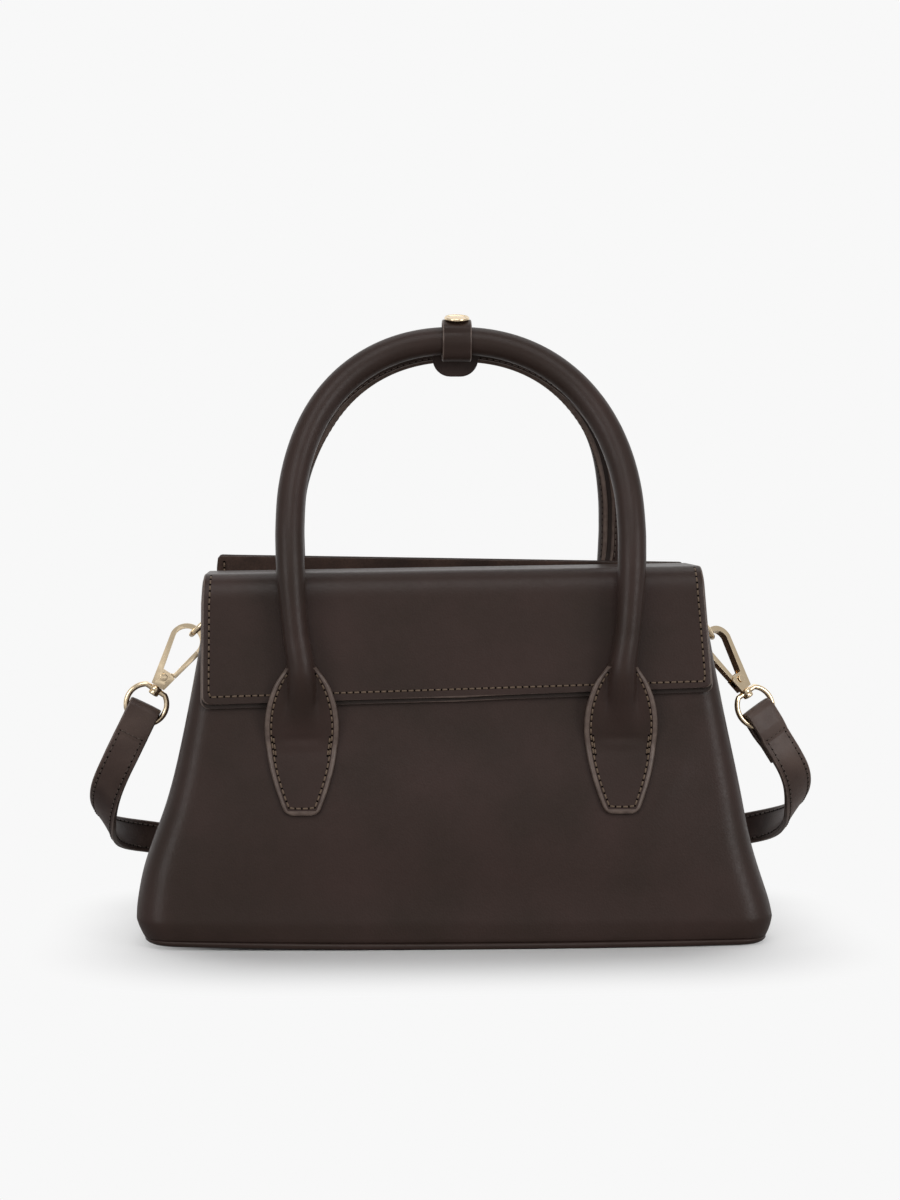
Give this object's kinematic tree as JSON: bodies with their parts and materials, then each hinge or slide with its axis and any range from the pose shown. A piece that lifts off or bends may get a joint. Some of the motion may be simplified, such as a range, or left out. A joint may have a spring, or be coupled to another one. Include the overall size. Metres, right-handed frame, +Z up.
{
  "type": "handbag",
  "caption": "Trapezoid leather handbag with a front flap, folding rolled top handles with a snap keeper, and a detachable shoulder strap on swivel hooks.",
  "frame": {"origin": "middle of the base, on the surface that the bag stands on", "axes": "+Z up, +X to the viewer's right, the front with the flap faces -Y"},
  "size_m": [0.3469, 0.1705, 0.2915],
  "materials": {
    "leather": "smooth, satin",
    "suede": "matt suede",
    "gold_metal": "polished pale gold",
    "steel": "plain",
    "board": "fibre board",
    "core_cord": "cotton cord"
  },
  "bodies": {
    "bag": {"front_panel": "leather", "back_panel": "leather", "left_gusset": "leather", "right_gusset": "leather", "base_sheet": "leather", "base_board": "board", "suede_lining": "suede", "lip_facing": "suede", "flap_hinge_strip": "leather", "panel_magnet": "steel", "front_left_tab": "leather", "front_right_tab": "leather", "back_left_tab": "leather", "back_right_tab": "leather", "left_ring_chape": "leather", "right_ring_chape": "leather", "strap_left": "leather", "strap_hank": "leather", "strap_right": "leather"},
    "front_handle": {"front_handle_cover": "leather", "front_handle_core": "core_cord", "keeper_front_loop": "leather", "keeper_snap_cap": "gold_metal"},
    "back_handle": {"back_handle_cover": "leather", "back_handle_core": "core_cord", "keeper_back_loop": "leather"},
    "flap": {"flap_leather": "leather", "flap_lining": "suede", "flap_magnet": "steel"},
    "left_clip": {"left_side_ring": "gold_metal", "left_swivel_eye": "gold_metal", "left_strap_end": "leather"},
    "left_hook": {"left_hook_frame": "gold_metal", "left_gate_pin": "gold_metal", "left_gate_spring": "steel"},
    "left_gate": {"left_hook_gate": "gold_metal"},
    "right_clip": {"right_side_ring": "gold_metal", "right_swivel_eye": "gold_metal", "right_strap_end": "leather"},
    "right_hook": {"right_hook_frame": "gold_metal", "right_gate_pin": "gold_metal", "right_gate_spring": "steel"},
    "right_gate": {"right_hook_gate": "gold_metal"}
  },
  "joints": [
    {"name": "front_handle_fold", "type": "hinge", "parent": "bag", "child": "front_handle", "pos_m": [0, -0.0489, 0.092], "axis": [1, 0, 0], "range_deg": [0, 90]},
    {"name": "back_handle_fold", "type": "hinge", "parent": "bag", "child": "back_handle", "pos_m": [0, 0.0489, 0.092], "axis": [-1, 0, 0], "range_deg": [0, 95]},
    {"name": "flap_lift", "type": "hinge", "parent": "bag", "child": "flap", "pos_m": [0, 0.0275, 0.163], "axis": [-1, 0, 0], "range_deg": [0, 45]},
    {"name": "left_clip_swing", "type": "hinge", "parent": "bag", "child": "left_clip", "pos_m": [-0.11298, 0, 0.1515], "axis": [0, 1, 0], "range_deg": [0, 25], "deforming": ["strap_left"]},
    {"name": "left_hook_swivel", "type": "hinge", "parent": "left_clip", "child": "left_hook", "pos_m": [-0.14059, 0, 0.1161], "axis": [-0.5446, 0, -0.8387], "range_deg": [-30, 30]},
    {"name": "left_gate_open", "type": "hinge", "parent": "left_hook", "child": "left_gate", "pos_m": [-0.13775, 0, 0.12046], "axis": [0, -1, 0], "range_deg": [0, 22], "stiffness_Nm_per_rad": 0.02},
    {"name": "right_clip_swing", "type": "hinge", "parent": "bag", "child": "right_clip", "pos_m": [0.11298, 0, 0.1515], "axis": [0, -1, 0], "range_deg": [0, 25], "deforming": ["strap_right"]},
    {"name": "right_hook_swivel", "type": "hinge", "parent": "right_clip", "child": "right_hook", "pos_m": [0.13786, 0, 0.11379], "axis": [0.5299, 0, -0.848], "range_deg": [0, 60]},
    {"name": "right_gate_open", "type": "hinge", "parent": "right_hook", "child": "right_gate", "pos_m": [0.1351, 0, 0.1182], "axis": [-0.4864, 0.8192, -0.304], "range_deg": [0, 22], "stiffness_Nm_per_rad": 0.02}
  ],
  "couplings": [
    {"joint": "flap_lift", "follows": "front_handle_fold", "ratio": 0.5}
  ]
}
